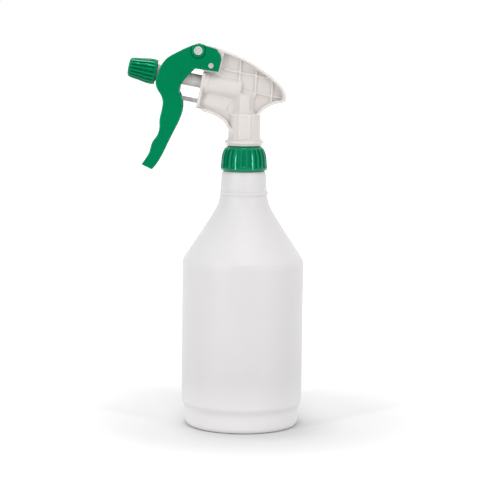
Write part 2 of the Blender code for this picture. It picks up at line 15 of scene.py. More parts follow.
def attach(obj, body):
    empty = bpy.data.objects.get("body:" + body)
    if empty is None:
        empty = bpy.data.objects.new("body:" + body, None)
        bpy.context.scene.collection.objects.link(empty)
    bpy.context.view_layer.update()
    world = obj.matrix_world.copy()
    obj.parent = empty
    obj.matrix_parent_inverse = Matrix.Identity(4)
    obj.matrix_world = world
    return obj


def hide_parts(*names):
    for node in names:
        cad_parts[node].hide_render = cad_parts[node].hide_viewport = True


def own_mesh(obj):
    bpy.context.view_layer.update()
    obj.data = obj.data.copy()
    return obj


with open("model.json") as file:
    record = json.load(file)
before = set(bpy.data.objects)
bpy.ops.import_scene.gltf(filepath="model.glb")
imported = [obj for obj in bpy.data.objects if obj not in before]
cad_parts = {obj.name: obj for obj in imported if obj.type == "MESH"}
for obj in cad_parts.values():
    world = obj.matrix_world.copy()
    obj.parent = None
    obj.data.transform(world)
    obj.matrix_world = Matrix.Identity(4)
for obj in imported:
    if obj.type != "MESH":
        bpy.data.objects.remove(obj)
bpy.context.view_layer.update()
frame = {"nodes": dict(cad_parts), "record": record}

MM = 0.001

# Camera: level with the top of the head, looking a little down at the bottle's side
CAMERA_PLACE = (-2.235, -1300.0, 280.0)
CAMERA_DIP = math.radians(6.38)
CAMERA_ROLL = math.radians(0.617)
CAMERA_LENS = 135.45

# Bottle
WALL = 1.3
BODY_RADIUS = 43.9
BASE_RADIUS = 41.0
LIP_TOP = 196.6
FINISH_RADIUS = 12.6
FINISH_BORE = 10.8
THREAD_PITCH = 25.4 / 6
THREAD_TURNS = 1.25
THREAD_START = 187.4

# Collar
COLLAR_BOTTOM = 185.6
COLLAR_TOP = 203.0
COLLAR_RIBS = 24
COLLAR_GROOVE = 1.5
COLLAR_BORE = 14.2

# Head
FLANGE_BOTTOM = 203.3
NECK_TUBE_RADIUS = 11.5
NECK_TUBE_TOP = 227.0
STRIP_RISE = 0.8
LIP_HALF_WIDTH = 9.0
WEB_HALF_WIDTH = 4.2
RIB_HALF_WIDTH = 5.6

# Pump barrel: s runs rearwards along its axis from the drive trunnions, t is square to it and up
BARREL_ORIGIN = (-45.1, 0.0, 251.35)
BARREL_PITCH = math.radians(11.0)
CYLINDER_RADIUS = 8.0
CYLINDER_BORE = 6.4
CYLINDER_END = 42.5
PLATE_FRONT = 14.2
PLATE_THICKNESS = 2.0
PLATE_HALF_WIDTH = 8.8
PLUNGER_RADIUS = 4.65
SPRING_FRONT = 24.4
SPRING_END = 40.6
VENT_DROP = -14.1
VENT_ROD_RADIUS = 1.6
VENT_BORE = 2.4
NOZZLE_REAR = -18.7
NOZZLE_FRONT = -39.0
NOZZLE_RIBS = 18
NOZZLE_GROOVE = 1.6

# Trigger
PIVOT = (-33.3, 270.8)
CHEEK_INNER = 9.15
CHEEK_OUTER = 10.75
TRIGGER_WALL = 1.8
PIVOT_PIN_RADIUS = 1.75
PIVOT_HEAD_RADIUS = 3.1
STOP_PIN = (-24.2, 260.2)
STOP_PIN_RADIUS = 1.4
STOP_HEAD_RADIUS = 1.85
TRIGGER_SWING = math.radians(20.0)
TRUNNION_RADIUS = 1.5
TRUNNION_END = 9.75
TRUNNION_ARC = (-41.8, 251.3)

# How much light the side of the bottle gets, which the materials' colours allow for
FRONT_LIGHT = 1.33

# Soft boxes: name, azimuth, height, distance, width, tall, power, in degrees, metres and watts
SOFT_BOXES = [
    ("left_box", -42, 0.5, 1.5, 0.1, 1.1, 9.0),
    ("right_box", 44, 0.5, 1.5, 0.1, 1.1, 7.5),
    ("front_box", 0, 1.8, 0.9, 0.5, 0.5, 8.0),
    ("top_box", -150, 2.0, 0.4, 0.7, 0.7, 14.0),
]
FLOOR_REACH = 40e3

UP = Matrix.Identity(4)
BARREL = Matrix.Translation(BARREL_ORIGIN) @ Matrix.Rotation(BARREL_PITCH, 4, "Y")
ALONG_X = Matrix.Rotation(math.radians(90), 4, "Y")
ALONG_Y = Matrix.Rotation(math.radians(-90), 4, "X")
ALONG_BARREL = BARREL @ ALONG_X


def at(x, y, z):
    return Matrix.Translation((x, y, z))


def each_side(inner, outer):
    """The two ranges along Y that lie from inner to outer off the middle plane."""
    return [(-outer, -inner), (inner, outer)]


# Materials


def linear(*channels):
    """An sRGB colour, 0 to 255, as linear light."""
    def one(c):
        c /= 255
        return c / 12.92 if c <= 0.04045 else ((c + 0.055) / 1.055) ** 2.4
    return tuple(one(c) for c in channels)


def lit(*channels):
    """The base colour that shows as this sRGB colour on the side of the bottle."""
    return tuple(c * (1 / FRONT_LIGHT) for c in linear(*channels))


def noise(tree, coordinates, scale, detail=3.0, stretch=(1, 1, 1)):
    """Noise from 0 to 1, mostly between 0.3 and 0.7."""
    squeeze = tree.nodes.new("ShaderNodeMapping")
    squeeze.inputs["Scale"].default_value = stretch
    tree.links.new(coordinates, squeeze.inputs["Vector"])
    texture = tree.nodes.new("ShaderNodeTexNoise")
    texture.inputs["Scale"].default_value = scale
    texture.inputs["Detail"].default_value = detail
    tree.links.new(squeeze.outputs["Vector"], texture.inputs["Vector"])
    return texture.outputs["Fac"]


def spread(tree, value, low, high):
    """Noise spread out to the whole range from low to high."""
    remap = tree.nodes.new("ShaderNodeMapRange")
    remap.inputs["From Min"].default_value = 0.3
    remap.inputs["From Max"].default_value = 0.7
    remap.inputs["To Min"].default_value = low
    remap.inputs["To Max"].default_value = high
    tree.links.new(value, remap.inputs["Value"])
    return remap.outputs["Result"]


def shade(colour, factor):
    """The colour made lighter or darker, with its alpha."""
    return (*(min(c * factor, 1.0) for c in colour), 1.0)


def mottled(tree, place, colour, mottle, flow):
    """The colour, a little lighter and darker in patches drawn out along the melt's flow."""
    tint = tree.nodes.new("ShaderNodeMix")
    tint.data_type = "RGBA"
    tint.inputs["A"].default_value = shade(colour, 1 - mottle)
    tint.inputs["B"].default_value = shade(colour, 1 + mottle)
    tree.links.new(spread(tree, noise(tree, place, 55.0, 4.0, flow), 0.0, 1.0), tint.inputs["Factor"])
    return tint.outputs["Result"]


def moulded(
    name, colour, roughness, mottle, grain, relief,
    glow=0.0, flow=(1, 1, 1), gloss=0.3, sheen=(1.0, 1.0, 1.0), lacquer=0.0,
):
    """Moulded plastic: a faint mottle from the melt's flow, uneven gloss and a fine surface grain.

    glow is how much light spreads under the surface. sheen tints the reflections and lacquer adds white ones.
    """
    material = bpy.data.materials.new(name)
    material.use_nodes = True
    tree = material.node_tree
    shader = tree.nodes["Principled BSDF"]
    place = tree.nodes.new("ShaderNodeTexCoord").outputs["Object"]
    tree.links.new(mottled(tree, place, colour, mottle, flow), shader.inputs["Base Color"])

    patches = noise(tree, place, 160.0, 2.0, flow)
    tree.links.new(spread(tree, patches, roughness - 0.05, roughness + 0.05), shader.inputs["Roughness"])

    bump = tree.nodes.new("ShaderNodeBump")
    bump.inputs["Strength"].default_value = 0.35
    bump.inputs["Distance"].default_value = relief
    tree.links.new(noise(tree, place, grain, 2.0), bump.inputs["Height"])
    tree.links.new(bump.outputs["Normal"], shader.inputs["Normal"])

    shader.inputs["Specular IOR Level"].default_value = gloss
    shader.inputs["Specular Tint"].default_value = (*sheen, 1.0)
    shader.inputs["Coat Weight"].default_value = lacquer
    shader.inputs["Coat Roughness"].default_value = 0.08
    if glow:
        shader.inputs["Subsurface Weight"].default_value = glow
        shader.inputs["Subsurface Radius"].default_value = (1.0, 0.95, 0.9)
        shader.inputs["Subsurface Scale"].default_value = 0.003
    return material


def paint_light_on_foot(material, height, gain):
    """Painted light on the foot: the colour is made lighter towards the bottom, where the shaded floor would
    otherwise leave the foot darker than the body above it.
    """
    tree = material.node_tree
    shader = tree.nodes["Principled BSDF"]
    colour = shader.inputs["Base Color"].links[0].from_socket
    place = tree.nodes.new("ShaderNodeSeparateXYZ")
    tree.links.new(tree.nodes.new("ShaderNodeTexCoord").outputs["Object"], place.inputs["Vector"])
    share = tree.nodes.new("ShaderNodeMapRange")
    share.interpolation_type = "SMOOTHSTEP"
    share.inputs["From Max"].default_value = height * MM
    share.inputs["To Min"].default_value = gain
    share.inputs["To Max"].default_value = 1.0
    tree.links.new(place.outputs["Z"], share.inputs["Value"])
    scaled = tree.nodes.new("ShaderNodeVectorMath")
    scaled.operation = "SCALE"
    tree.links.new(colour, scaled.inputs["Vector"])
    tree.links.new(share.outputs["Result"], scaled.inputs["Scale"])
    tree.links.new(scaled.outputs["Vector"], shader.inputs["Base Color"])


def sprung_steel():
    material = bpy.data.materials.new("steel")
    material.use_nodes = True
    tree = material.node_tree
    shader = tree.nodes["Principled BSDF"]
    place = tree.nodes.new("ShaderNodeTexCoord").outputs["Object"]
    shader.inputs["Base Color"].default_value = (0.6, 0.6, 0.6, 1.0)
    shader.inputs["Metallic"].default_value = 1.0
    tree.links.new(spread(tree, noise(tree, place, 900.0), 0.18, 0.32), shader.inputs["Roughness"])
    return material


# Shapes


def make_object(name, points, faces, place=UP):
    mesh = bpy.data.meshes.new(name)
    mesh.from_pydata([(place @ Vector(point)) * MM for point in points], [], faces)
    work = bmesh.new()
    work.from_mesh(mesh)
    bmesh.ops.delete(work, geom=[corner for corner in work.verts if not corner.link_faces], context="VERTS")
    bmesh.ops.recalc_face_normals(work, faces=work.faces)
    work.to_mesh(mesh)
    work.free()
    obj = bpy.data.objects.new(name, mesh)
    bpy.context.scene.collection.objects.link(obj)
    return obj


def turned(name, profile, steps=64, place=UP, wave=None, extra_angles=()):
    """A profile of (radius, height) points spun about Z. wave(angle, radius, height) adds to the radius."""
    angles = sorted([2 * math.pi * i / steps for i in range(steps)] + list(extra_angles))
    steps = len(angles)
    points, rings = [], []
    for radius, height in profile:
        ring = []
        for angle in angles if radius else [0.0]:
            r = radius + (wave(angle, radius, height) if wave and radius else 0.0)
            ring.append(len(points))
            points.append((r * math.cos(angle), r * math.sin(angle), height))
        rings.append(ring)
    faces = []
    follows = rings[1:] + ([] if len(rings[0]) == 1 else rings[:1])
    for ring, after in zip(rings, follows):
        lone, full = sorted((ring, after), key=len)
        if len(lone) == 1 and points[lone[0]][2] == points[full[0]][2]:
            faces.append(full)
            continue
        for i in range(steps):
            j = (i + 1) % steps
            corners = [ring[i % len(ring)], ring[j % len(ring)], after[j % len(after)], after[i % len(after)]]
            faces.append(list(dict.fromkeys(corners)))
    return make_object(name, points, faces, place)


def swept(name, sections, place=UP):
    """Sections of as many points each, skinned in order, with a face across each end."""
    size = len(sections[0])
    points = [point for section in sections for point in section]
    faces = [list(range(size)), list(range(len(points) - size, len(points)))]
    for here in range(0, len(points) - size, size):
        after = here + size
        for k in range(size):
            m = (k + 1) % size
            faces.append([here + k, here + m, after + m, after + k])
    return make_object(name, points, faces, place)


def inset(outline, distance):
    """A closed outline moved inwards by distance."""
    corners = [Vector(point) for point in outline]
    count = len(corners)
    area = sum(corners[i - 1].x * corners[i].y - corners[i].x * corners[i - 1].y for i in range(count))
    side = 1 if area > 0 else -1
    moved = []
    for i, corner in enumerate(corners):
        along = [(corner - corners[i - 1]).normalized(), (corners[(i + 1) % count] - corner).normalized()]
        first, second = (Vector((-d.y, d.x)) * side for d in along)
        spot = corner + (first + second) * (distance / max(0.6, 1 + first.dot(second)))
        moved.append((spot.x, spot.y))
    return moved


def soft_prism(name, outline, half, radius, place=UP):
    """An outline of (x, z) points, extruded along Y to half on both sides, with its edges rounded."""
    turns = [math.radians(a) for a in (90, 60, 30, 0)]
    near = [(radius * (1 - math.cos(a)), half - radius * (1 - math.sin(a))) for a in turns]
    layers = [(step, -y) for step, y in near] + [(step, y) for step, y in reversed(near)]
    return swept(name, [[(x, y, z) for x, z in inset(outline, step)] for step, y in layers], place)


def rod(name, radius, low, high, place, steps=48):
    return turned(name, [(0, high), (radius, high), (radius, low), (0, low)], steps, place)


def prism(name, outline, low, high, place=UP):
    """An outline of (x, z) points, extruded along Y from low to high."""
    return swept(name, [[(x, y, z) for x, z in outline] for y in (low, high)], place)


def thread(name, root, crest, width, start, steps_per_turn=64):
    """A right-handed helical ridge that fades in and out at its ends."""
    count = round(THREAD_TURNS * steps_per_turn) + 1
    sections = []
    for i in range(count):
        angle = 2 * math.pi * i / steps_per_turn
        fade = min(1.0, 0.15 + min(i, count - 1 - i) / (0.12 * steps_per_turn))
        middle = start + THREAD_PITCH * i / steps_per_turn
        peak = root + (crest - root) * fade
        ridge = ((root, -width / 2), (peak, -width / 4), (peak, width / 4), (root, width / 2))
        sections.append([(r * math.cos(angle), r * math.sin(angle), middle + rise) for r, rise in ridge])
    return swept(name, sections)


def coil(name, radius, wire, low, high, turns, place, steps_per_turn=40, sides=12):
    """A compression spring about Z, from low to high."""
    steps = turns * steps_per_turn
    rim = [2 * math.pi * k / sides for k in range(sides)]
    around = [(radius + wire * math.cos(turn), wire * math.sin(turn)) for turn in rim]
    sections = []
    for i in range(steps + 1):
        angle = 2 * math.pi * i / steps_per_turn
        height = low + wire + (high - low - 2 * wire) * i / steps
        sections.append([(out * math.cos(angle), out * math.sin(angle), height + up) for out, up in around])
    return swept(name, sections, place)


# Outlines


def catmull(before, start, end, after, u):
    """A Catmull-Rom spline's value a share u of the way from start to end."""
    pull = end - before
    bend = 2 * before - 5 * start + 4 * end - after
    turn = 3 * start - before - 3 * end + after
    return start + 0.5 * u * (pull + u * (bend + u * turn))


def smooth(points, pieces=6):
    """A smooth curve through the points."""
    padded = [points[0], *points, points[-1]]
    curve = []
    for before, start, end, after in zip(padded, padded[1:], padded[2:], padded[3:]):
        for step in range(pieces):
            u = step / pieces
            curve.append(tuple(catmull(before[k], start[k], end[k], after[k], u) for k in (0, 1)))
    curve.append(points[-1])
    return curve


def rounded(points, radius, pieces=4, closed=False):
    """The polyline with each corner turned into a curve that starts and ends radius away from it.

    A point may have a third number, which is its own radius.
    """
    result = []
    count = len(points)
    for i, point in enumerate(points):
        corner = Vector(point[:2])
        own = point[2] if len(point) > 2 else radius
        if own == 0 or (not closed and i in (0, count - 1)):
            result.append(tuple(corner))
            continue
        before = Vector(points[i - 1][:2]) - corner
        after = Vector(points[(i + 1) % count][:2]) - corner
        start = corner + before.normalized() * min(own, before.length * 0.45)
        end = corner + after.normalized() * min(own, after.length * 0.45)
        for step in range(pieces + 1):
            u = step / pieces
            result.append(tuple(start * (1 - u) ** 2 + corner * 2 * u * (1 - u) + end * u * u))
    return result


def offset(curve, distance):
    """The curve moved to the right of its own direction by distance."""
    moved = []
    for i, (x, z) in enumerate(curve):
        ahead = curve[min(i + 1, len(curve) - 1)]
        behind = curve[max(i - 1, 0)]
        along = Vector((ahead[0] - behind[0], ahead[1] - behind[1])).normalized()
        moved.append((x + distance * along.y, z - distance * along.x))
    return moved


def band(curve, thickness):
    """The outline of a strip that lies along the curve, on its right."""
    return curve + offset(curve, thickness)[::-1]


def arc(centre, radius, start, end, count=12):
    angles = [start + (end - start) * i / count for i in range(count + 1)]
    return [(centre[0] + radius * math.cos(a), centre[1] + radius * math.sin(a)) for a in angles]


def slot(start, end, half_width):
    """The outline of a slot with round ends about start and end."""
    heading = math.atan2(end[1] - start[1], end[0] - start[0])
    quarter = math.pi / 2
    far = arc(end, half_width, heading - quarter, heading + quarter)
    return far + arc(start, half_width, heading + quarter, heading + 3 * quarter)


def strip(start, end, thickness):
    """The outline of a straight strip with start and end in the middle of its ends."""
    along = Vector((end[0] - start[0], end[1] - start[1])).normalized() * thickness / 2
    side = (-along.y, along.x)
    return [
        (start[0] + side[0], start[1] + side[1]),
        (end[0] + side[0], end[1] + side[1]),
        (end[0] - side[0], end[1] - side[1]),
        (start[0] - side[0], start[1] - side[1]),
    ]


def barrel_point(s, t):
    """Where a point of the pump barrel lies in (x, z)."""
    spot = BARREL @ Vector((s, 0, t))
    return (spot.x, spot.z)


# Joining and softening


def evaluated(obj):
    """The object with its modifiers applied."""
    bpy.context.view_layer.update()
    graph = bpy.context.evaluated_depsgraph_get()
    result = bpy.data.meshes.new_from_object(obj.evaluated_get(graph))
    obj.modifiers.clear()
    obj.data = result
    return obj


def combine(operation, body, tools):
    for tool in tools:
        step = body.modifiers.new("step", "BOOLEAN")
        step.operation = operation
        step.solver = "EXACT"
        step.object = tool
        evaluated(body)
        bpy.data.objects.remove(tool)
    return body


def join(body, *tools):
    return combine("UNION", body, tools)


def cut(body, *tools):
    return combine("DIFFERENCE", body, tools)


def bring_in(body, other):
    """Adds another mesh to the body as it stands, with its root inside the body's wall."""
    work = bmesh.new()
    work.from_mesh(body.data)
    work.from_mesh(other.data)
    work.to_mesh(body.data)
    work.free()
    bpy.data.objects.remove(other)
    return body


def soften(body, voxel, rounds, keep):
    """Moulded fillets: the solid is remeshed finely, its corners are smoothed and it is thinned out again."""
    remesh = body.modifiers.new("remesh", "REMESH")
    remesh.mode = "VOXEL"
    remesh.voxel_size = voxel * MM
    relax = body.modifiers.new("relax", "SMOOTH")
    relax.factor = 0.5
    relax.iterations = rounds
    thin = body.modifiers.new("thin", "DECIMATE")
    thin.ratio = keep
    return evaluated(body)


def finish(obj, material, body, slot_name, *replaced, crease=40):
    """Gives a piece its material and its body. Edges sharper than crease degrees stay sharp."""
    obj.data.materials.clear()
    obj.data.materials.append(material)
    obj.data.shade_smooth()
    if crease:
        obj.data.set_sharp_from_angle(angle=math.radians(crease))
    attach(obj, body)
    if replaced:
        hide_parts(*replaced)
    return obj


# Bottle


def bottle_profile():
    """The outside from the neck down, as (radius, height) points, in four stretches."""
    neck = [(15.2, 184.7, 0.5), (15.8, 182.6, 0.8), (16.2, 178.2, 0), (16.5, 173.4, 0)]
    bead = [(16.6, 170.4, 0.4), (17.65, 169.5, 0.35), (17.65, 168.9, 0.35), (17.0, 167.6, 0.5)]
    shoulder = [
        (17.6, 163.7), (18.5, 160.8), (19.9, 157.7), (21.5, 155.0), (23.1, 152.2), (26.8, 146.4),
        (32.4, 137.8), (38.4, 128.8), (40.8, 125.2),
    ]
    wall = neck + bead + [(x, z, 0) for x, z in smooth([(16.95, 166.4), *shoulder])]
    edge = [(43.2, 121.2, 0.7), (BODY_RADIUS, 117.4, 0.8), (BODY_RADIUS - 0.2, 60.0, 0)]
    step = [(BODY_RADIUS - 0.3, 17.6, 1.6), (BASE_RADIUS + 0.4, 13.2, 1.6), (BASE_RADIUS, 8.0, 0)]
    foot = [(BASE_RADIUS - 0.3, 0.0, 5.0), (33.2, 0.0, 1.2), (31.6, 1.2, 0.8)]
    return wall, edge, step, foot


def make_bottle():
    wall, edge, step, foot = bottle_profile()
    mouth = [(FINISH_BORE, LIP_TOP, 0.4), (FINISH_RADIUS, LIP_TOP, 0.4), (FINISH_RADIUS, 185.4, 0.6)]
    outside = mouth + wall + edge + step + foot
    centre = [(12.0, 1.2, 0), (9.0, 1.2, 0.5), (8.4, 1.7, 0.5), (0, 1.7)]
    inner_floor = [(0, 2.9), (30.6, 2.6, 1.0), (33.4, 1.4, 1.0), (38.0, 1.4, 2.0)]
    inner_wall = [(x - WALL, z + 0.4, 0) for x, z, *_ in reversed(wall[2:] + edge + step[:2])]
    inner_mouth = [(14.3, 182.8, 0.8), (FINISH_BORE, 184.0, 0.8)]
    profile = rounded([*outside, *centre], 1.0) + rounded([*inner_floor, *inner_wall, *inner_mouth], 1.0)

    full_turn = 2 * math.pi

    def seam(angle, radius, height):
        """The mould's parting line down both ends of the bottle."""
        away = min(abs(angle - a) for a in (0.0, math.pi, full_turn)) * radius
        outer = height < 184 and radius > 15.3
        return 0.12 * max(0.0, 1 - away / 0.35) if outer else 0.0

    near_seams = [(a + d) % full_turn for a in (math.pi, 0.0) for d in (-0.012, -0.006, 0.006, 0.012)]
    body = turned("bottle_wall", profile, 224, wave=seam, extra_angles=near_seams)
    return bring_in(body, thread("ridge", FINISH_RADIUS - 0.4, 13.7, 1.6, THREAD_START))


# Collar


def ease(value, low, high):
    """0 below low, 1 above high and a smooth step between them."""
    u = min(1.0, max(0.0, (value - low) / (high - low)))
    return u * u * (3 - 2 * u)


def groove_shape(angle, count, flat, edge):
    """0 on a rib and 1 in the middle of a groove, for count ribs with a groove facing the front.

    flat is how much of the spacing the groove's floor takes, and edge how much its sides take.
    """
    phase = (angle + math.pi / 2) * count / (2 * math.pi)
    across = abs(phase - round(phase)) * 2
    return 1 - ease(across, flat, flat + edge)


def make_collar():
    outside = rounded([
        (15.6, COLLAR_BOTTOM, 0.3), (16.75, COLLAR_BOTTOM, 0.5), (16.9, 187.0, 0.5), (16.55, 190.5),
        (16.3, 194.3), (15.9, 196.6), (15.2, 198.8), (14.1, 200.8), (13.0, 202.1), (11.9, 202.9, 0.5),
        (10.2, COLLAR_TOP, 0.3),
    ], 0.9)
    inside = [(10.2, 199.7), (12.9, 199.7), (12.9, 198.0), (COLLAR_BORE, 197.2), (COLLAR_BORE, 186.4)]

    def ribs(angle, radius, height):
        if radius < 12.5 or height < 187.2 or (radius, height) in inside:
            return 0.0
        tall = ease(height, 187.3, 187.8) * (1 - ease(height, 199.6, 201.8))
        return -COLLAR_GROOVE * tall * groove_shape(angle, COLLAR_RIBS, 0.5, 0.2)

    body = turned("collar_shell", smooth(outside, 2) + inside, COLLAR_RIBS * 20, wave=ribs)
    return bring_in(body, thread("ridge", COLLAR_BORE + 0.4, 12.9, 1.4, THREAD_START + THREAD_PITCH / 2))


# Housing


def top_edge():
    return smooth([
        (-31.0, 274.7), (-23.1, 273.9), (-10.8, 270.0), (4.3, 263.0), (14.4, 256.4), (23.8, 249.0),
        (28.6, 243.2), (29.6, 238.0), (28.6, 234.9), (24.6, 233.9),
    ])


def lip_inner_edge():
    return smooth([
        (-31.0, 272.4), (-22.8, 271.5), (-9.4, 267.3), (2.1, 262.1), (13.7, 254.6), (22.6, 247.3),
        (26.4, 242.2), (27.2, 238.6), (26.4, 236.6), (24.2, 235.9),
    ])


def rear_underside():
    return smooth([(24.6, 233.9), (20.4, 232.8), (14.2, 229.4), (9.6, 224.6)])


def front_underside():
    return smooth([(-8.6, 211.5), (-11.6, 215.2), (-14.9, 220.4), (-21.9, 225.1), (-31.2, 227.9)])


def housing_web():
    top = offset(top_edge(), 1.0)
    rear = offset(rear_underside(), 0.9)
    front = offset(front_underside(), 0.9)
    plate = [barrel_point(PLATE_FRONT + 1.0, -18.0), barrel_point(PLATE_FRONT + 1.0, 6.0)]
    bracket = [(-29.3, 262.0), (-35.6, 269.0)]
    return prism("housing_shell", top + rear[1:] + front + plate + bracket, -WEB_HALF_WIDTH, WEB_HALF_WIDTH)


def bracket_outline():
    nose = arc(PIVOT, 3.6, math.radians(215), math.radians(90))
    return [(-30.2, 256.4), (-29.9, 262.5), *nose, (-23.5, 273.0), (-15.6, 268.4), (-18.9, 255.6)]


def housing_ribs():
    upright = [((-3.0, 266.0), (-4.1, 239.0)), ((8.4, 260.0), (7.4, 238.0)), ((19.9, 252.0), (18.9, 233.0))]
    level = [
        (barrel_point(28.0, 12.2), barrel_point(62.0, 12.2)),
        (barrel_point(42.0, 0.0), barrel_point(74.5, 0.0)),
    ]
    return [
        prism("rib", strip(start, end, 1.2), -RIB_HALF_WIDTH, RIB_HALF_WIDTH)
        for start, end in upright + level
    ]


def front_plate():
    low, high = -19.0, 7.0
    half = PLATE_HALF_WIDTH
    corners = rounded([(half, high), (-half, high), (-half, low), (half, low)], 2.5, 5, True)
    turn = BARREL @ Matrix.Rotation(math.radians(90), 4, "Z")
    return prism("plate", corners, -PLATE_FRONT - PLATE_THICKNESS, -PLATE_FRONT, turn)


def barrel_outside():
    ring_end = PLATE_FRONT + 5.0
    cylinder = turned("cylinder", [
        (0, PLATE_FRONT + 0.5), (8.7, PLATE_FRONT + 0.5), (8.7, ring_end), (CYLINDER_RADIUS, ring_end + 0.6),
        (CYLINDER_RADIUS, CYLINDER_END), (6.8, CYLINDER_END + 1.2), (0, CYLINDER_END + 1.2),
    ], 64, ALONG_BARREL)
    vent = rod("vent", 5.2, PLATE_FRONT + 0.4, 36.0, BARREL @ at(0, 0, VENT_DROP) @ ALONG_X)
    return [cylinder, vent]


def neck_outside():
    """The neck tube on its flange, and the narrower tube that rises from it to the outlet."""
    profile = rounded([
        (0, 243.0), (3.0, 243.0, 0.8), (8.4, 240.0, 1.2), (8.6, 227.9, 0.5), (9.4, 226.5), (11.1, 226.2),
        (NECK_TUBE_RADIUS, 225.4), (NECK_TUBE_RADIUS, 209.0, 0.8), (12.2, 207.0, 0.6), (14.1, 206.6, 0.2),
        (14.2, 205.0, 0.2), (13.0, 204.7, 0.2), (13.0, FLANGE_BOTTOM, 0.2), (0, FLANGE_BOTTOM),
    ], 0.5)

    def strip_up(angle, radius, height):
        """A raised strip down the near and the far side of both tubes."""
        on_tube = ease(height, 207.6, 209.0) * (1 - ease(height, 238.5, 240.0))
        half = 4.6 if height < NECK_TUBE_TOP else 3.9
        return STRIP_RISE * on_tube * (1 - ease(abs(radius * math.cos(angle)), half - 0.5, half))

    return turned("neck", profile, 240, wave=strip_up)


def neck_inside():
    """The socket for the insert, round a spigot."""
    profile = [(0, 202.0), (9.9, 202.0), (9.9, 215.0), (4.0, 215.0), (4.0, 211.0), (0, 211.0)]
    return turned("socket", profile, 64)


def pin_arc():
    """The curved slot in which the stop pin swings about the pivot."""
    reach = math.hypot(STOP_PIN[0] - PIVOT[0], STOP_PIN[1] - PIVOT[1])
    rest = math.atan2(STOP_PIN[1] - PIVOT[1], STOP_PIN[0] - PIVOT[0])
    low, high, half = rest - 0.01, rest + TRIGGER_SWING + 0.01, STOP_PIN_RADIUS + 0.3
    first = arc(PIVOT, reach, low, low, 1)[0]
    last = arc(PIVOT, reach, high, high, 1)[0]
    outline = arc(PIVOT, reach + half, low, high)
    outline += arc(last, half, high, high + math.pi)[1:]
    outline += arc(PIVOT, reach - half, high, low)[1:]
    outline += arc(first, half, low + math.pi, low + 2 * math.pi)[1:-1]
    return outline


def make_housing():
    body = housing_web()
    for low, high in each_side(7.2, 8.9):
        join(body, prism("side", bracket_outline(), low, high))
    join(body, soft_prism("lip", top_edge() + lip_inner_edge()[::-1], LIP_HALF_WIDTH, 0.7))
    join(body, prism("under", band(rear_underside(), 2.0), -8.4, 8.4))
    join(body, prism("under", band(front_underside(), 2.0), -7.9, 7.9))
    join(body, prism("wall", strip((-15.9, 269.6), (-19.6, 254.9), 1.6), -8.7, 8.7))
    pivot = at(PIVOT[0], 0, PIVOT[1]) @ ALONG_Y
    join(body, rod("boss", 3.5, -8.85, 8.85, pivot))
    join(body, *housing_ribs(), front_plate(), *barrel_outside(), neck_outside())
    bore = rod("bore", CYLINDER_BORE, PLATE_FRONT - 2, CYLINDER_END - 1.0, ALONG_BARREL)
    vent_bore = rod("vent bore", VENT_BORE, PLATE_FRONT - 2, 31.5, BARREL @ at(0, 0, VENT_DROP) @ ALONG_X)
    cut(body, bore, vent_bore, neck_inside())
    cut(body, rod("pivot hole", PIVOT_PIN_RADIUS + 0.15, -12, 12, pivot))
    cut(body, prism("arc", pin_arc(), -12, 12))
    for low, high in each_side(5.0, 12.0):
        cut(body, prism("slit", strip((-27.5, 255.1), (-21.1, 254.0), 1.0), low, high))
    return soften(body, 0.35, 3, 0.45)


# Trigger


def trigger_front():
    return smooth([
        (-33.2, 276.1), (-40.0, 273.6), (-49.0, 269.3), (-55.9, 265.1), (-60.3, 259.0), (-62.8, 252.2),
        (-63.6, 247.2), (-62.3, 243.0), (-59.6, 238.6), (-58.5, 234.0), (-59.2, 228.4), (-60.7, 221.8),
        (-60.8, 215.6), (-62.2, 210.6), (-65.9, 205.2), (-68.0, 198.0), (-70.6, 193.6), (-73.5, 189.4),
    ])


def trigger_rear():
    return smooth([
        (-65.9, 185.8), (-62.6, 189.7), (-58.8, 196.2), (-54.7, 204.9), (-50.4, 213.5), (-46.3, 222.1),
        (-44.2, 230.0), (-44.7, 237.0), (-46.6, 242.8), (-45.0, 247.4), (-39.6, 254.0), (-35.4, 258.0),
    ])


def trigger_arm():
    """The end of the arm that reaches back over the housing to the stop pin."""
    return [(-18.8, 255.7), (-16.7, 264.8), (-17.3, 267.8), (-20.4, 272.1)]


def barrel_travel():
    """The ends of the trunnion's path in the trigger's slot."""
    rest = Vector((BARREL_ORIGIN[0], 0, BARREL_ORIGIN[2]))
    centre = Vector((PIVOT[0], 0, PIVOT[1]))
    inward = (centre - rest).normalized() * 1.5
    return (rest.x, rest.z), ((rest + inward).x, (rest + inward).z)


def trunnion_ridge():
    """A raised arc on each cheek, round the front of the trunnion's slot."""
    start, end = math.radians(118), math.radians(238)
    return arc(TRUNNION_ARC, 5.1, start, end, 20) + arc(TRUNNION_ARC, 4.5, end, start, 20)


